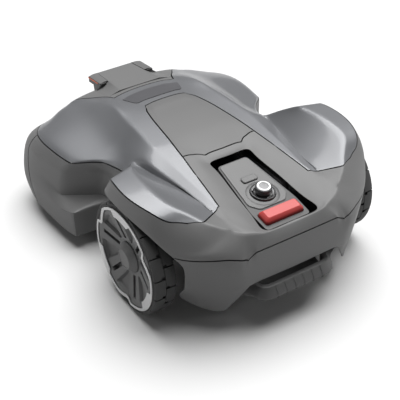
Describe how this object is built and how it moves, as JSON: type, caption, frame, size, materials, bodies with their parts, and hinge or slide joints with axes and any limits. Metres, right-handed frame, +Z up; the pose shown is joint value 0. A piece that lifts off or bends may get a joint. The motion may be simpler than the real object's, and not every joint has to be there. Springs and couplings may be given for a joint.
{
  "type": "robotic lawn mower",
  "caption": "Robotic lawn mower with a floating body shell, driven rear wheels, swivelling front casters, a height-adjustable blade disc and a rear control console.",
  "frame": {"origin": "centre of the footprint on the ground, midway between front bumper and rear handle", "axes": "+Y forward, +X to the mower's right, +Z up"},
  "size_m": [0.558, 0.694, 0.2651],
  "materials": {
    "painted_grey": "satin metallic paint on moulded plastic",
    "moulded_grey": "fine grained moulded plastic",
    "dark_plastic": "dark grey moulded plastic",
    "black_plastic": "black moulded plastic",
    "tyre_rubber": "moulded tread rubber",
    "seal_rubber": "soft rubber",
    "silver_trim": "light grey satin",
    "stop_red": "semi-gloss red",
    "orange_trim": "orange line",
    "steel": "bright steel",
    "bush_brass": "sintered bronze",
    "circuit_board": "green board",
    "battery_wrap": "wrapped cells"
  },
  "bodies": {
    "chassis": {"lower_chassis": "black_plastic", "upper_chassis": "black_plastic", "chassis_seal": "seal_rubber", "battery_pack": "battery_wrap", "battery_cover": "black_plastic", "main_board": "circuit_board", "drive_unit_left": "dark_plastic", "drive_unit_right": "dark_plastic", "height_motor": "dark_plastic", "guide_rod": "steel", "control_console": "black_plastic", "control_panel": "dark_plastic", "panel_tag": "moulded_grey", "carry_handle": "dark_plastic", "caster_bush_left": "bush_brass", "caster_bush_right": "bush_brass"},
    "suspension": {"suspension_frame": "steel"},
    "shell": {"top_shell": "painted_grey", "centre_hatch": "moulded_grey", "rear_cover": "moulded_grey", "rear_bumper": "moulded_grey", "side_wall_left": "moulded_grey", "side_wall_right": "moulded_grey", "front_bumper": "dark_plastic", "antenna_base": "moulded_grey", "antenna_block": "dark_plastic", "antenna_clip_left": "black_plastic", "antenna_clip_right": "black_plastic", "clip_line_left": "orange_trim", "clip_line_right": "orange_trim", "name_plate": "black_plastic"},
    "drive_wheel_left": {"tyre_left": "tyre_rubber", "rim_left": "moulded_grey", "wheel_trim_left": "silver_trim", "hub_cap_left": "dark_plastic", "axle_left": "steel"},
    "caster_left": {"caster_fork_left": "dark_plastic", "caster_axle_left": "steel"},
    "caster_roller_left": {"caster_wheel_left": "tyre_rubber"},
    "drive_wheel_right": {"tyre_right": "tyre_rubber", "rim_right": "moulded_grey", "wheel_trim_right": "silver_trim", "hub_cap_right": "dark_plastic", "axle_right": "steel"},
    "caster_right": {"caster_fork_right": "dark_plastic", "caster_axle_right": "steel"},
    "caster_roller_right": {"caster_wheel_right": "tyre_rubber"},
    "cutting_unit": {"cutting_motor": "dark_plastic"},
    "height_screw": {"height_spindle": "steel"},
    "disc": {"blade_disc": "dark_plastic", "blade_screw_1": "steel", "blade_screw_2": "steel", "blade_screw_3": "steel"},
    "blade_1_swing": {"blade_1": "steel"},
    "blade_2_swing": {"blade_2": "steel"},
    "blade_3_swing": {"blade_3": "steel"},
    "skid": {"skid_plate": "dark_plastic"},
    "stop": {"stop_button": "stop_red"},
    "dial_stem": {"dial_plunger": "steel"},
    "dial": {"dial_knob": "silver_trim"}
  },
  "joints": [
    {"name": "shell_bump", "type": "slide", "parent": "chassis", "child": "suspension", "axis": [0, 1, 0], "range_m": [-0.005, 0.005], "stiffness_N_per_m": 8000},
    {"name": "shell_lift", "type": "slide", "parent": "suspension", "child": "shell", "axis": [0, 0, 1], "range_m": [0, 0.008]},
    {"name": "drive_wheel_left_spin", "type": "hinge", "parent": "chassis", "child": "drive_wheel_left", "pos_m": [-0.2127, -0.142, 0.115], "axis": [1, 0, 0], "continuous": true},
    {"name": "caster_left_swivel", "type": "hinge", "parent": "chassis", "child": "caster_left", "pos_m": [-0.165, 0.2, 0.1144], "axis": [0, 0, 1], "continuous": true},
    {"name": "caster_left_roll", "type": "hinge", "parent": "caster_left", "child": "caster_roller_left", "pos_m": [-0.165, 0.178, 0.042], "axis": [1, 0, 0], "continuous": true},
    {"name": "drive_wheel_right_spin", "type": "hinge", "parent": "chassis", "child": "drive_wheel_right", "pos_m": [0.2127, -0.142, 0.115], "axis": [1, 0, 0], "continuous": true},
    {"name": "caster_right_swivel", "type": "hinge", "parent": "chassis", "child": "caster_right", "pos_m": [0.165, 0.2, 0.1144], "axis": [0, 0, 1], "continuous": true},
    {"name": "caster_right_roll", "type": "hinge", "parent": "caster_right", "child": "caster_roller_right", "pos_m": [0.165, 0.178, 0.042], "axis": [1, 0, 0], "continuous": true},
    {"name": "cut_height", "type": "slide", "parent": "chassis", "child": "cutting_unit", "axis": [0, 0, 1], "range_m": [-0.02, 0.02]},
    {"name": "height_screw_turn", "type": "hinge", "parent": "chassis", "child": "height_screw", "pos_m": [0.06, 0.02, 0.0783], "axis": [0, 0, 1], "range_deg": [-900, 900]},
    {"name": "disc_spin", "type": "hinge", "parent": "cutting_unit", "child": "disc", "pos_m": [0, 0.02, 0.04], "axis": [0, 0, 1], "continuous": true},
    {"name": "blade_1_pivot", "type": "hinge", "parent": "disc", "child": "blade_1_swing", "pos_m": [0, 0.104, 0.0397], "axis": [0, 0, 1], "continuous": true},
    {"name": "blade_2_pivot", "type": "hinge", "parent": "disc", "child": "blade_2_swing", "pos_m": [0.07275, -0.022, 0.0397], "axis": [0, 0, 1], "continuous": true},
    {"name": "blade_3_pivot", "type": "hinge", "parent": "disc", "child": "blade_3_swing", "pos_m": [-0.07275, -0.022, 0.0397], "axis": [0, 0, 1], "continuous": true},
    {"name": "skid_spin", "type": "hinge", "parent": "disc", "child": "skid", "pos_m": [0, 0.02, 0.03], "axis": [0, 0, 1], "continuous": true},
    {"name": "stop_press", "type": "slide", "parent": "chassis", "child": "stop", "axis": [0, 0.134, -0.991], "range_m": [0, 0.004], "stiffness_N_per_m": 900},
    {"name": "dial_press", "type": "slide", "parent": "chassis", "child": "dial_stem", "axis": [0, 0.134, -0.991], "range_m": [0, 0.002], "stiffness_N_per_m": 900},
    {"name": "dial_turn", "type": "hinge", "parent": "dial_stem", "child": "dial", "pos_m": [0, -0.22445, 0.22232], "axis": [0, -0.134, 0.991], "continuous": true}
  ],
  "couplings": [
    {"joint": "height_screw_turn", "follows": "cut_height", "rad_per_m": 785}
  ]
}
